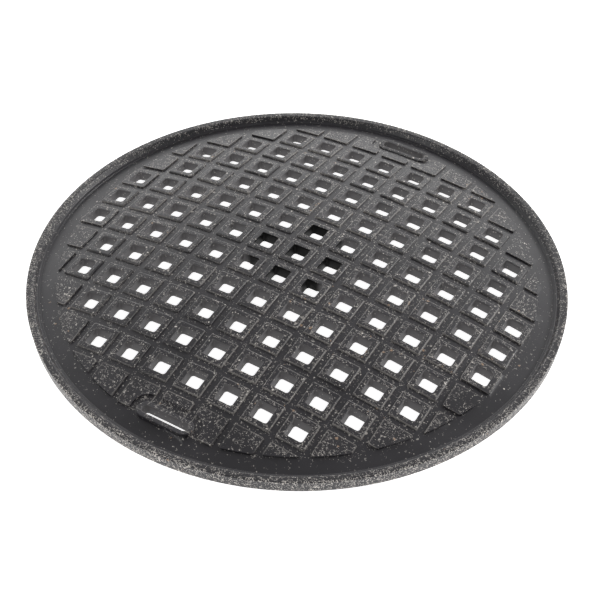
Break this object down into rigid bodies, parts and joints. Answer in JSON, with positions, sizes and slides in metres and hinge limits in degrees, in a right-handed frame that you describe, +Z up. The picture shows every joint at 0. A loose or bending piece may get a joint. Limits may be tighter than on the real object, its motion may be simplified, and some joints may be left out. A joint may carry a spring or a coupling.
{
  "type": "grill plate",
  "caption": "Round domed cast grill plate for a tabletop charcoal grill, with square pads and through holes, a gutter, an upturned rim, two lifting slots and a speckled non-stick coat",
  "frame": {"origin": "on the plate's axis, in the plane that its seat ring rests on", "axes": "+Z up along the plate's axis, out of the cooking side; +Y from the middle to one lifting slot; X and Y along the rows of square pads"},
  "size_m": [0.2942, 0.2942, 0.0206],
  "materials": {
    "casting": "bare as-cast aluminium, satin",
    "stone_coat": "satin charcoal non-stick coat with fine off-white and beige speckles",
    "plain_coat": "satin charcoal non-stick coat without speckles"
  },
  "bodies": {
    "root": {"plate_casting": "casting", "cooking_coating": "stone_coat", "underside_coating": "plain_coat"}
  },
  "joints": []
}
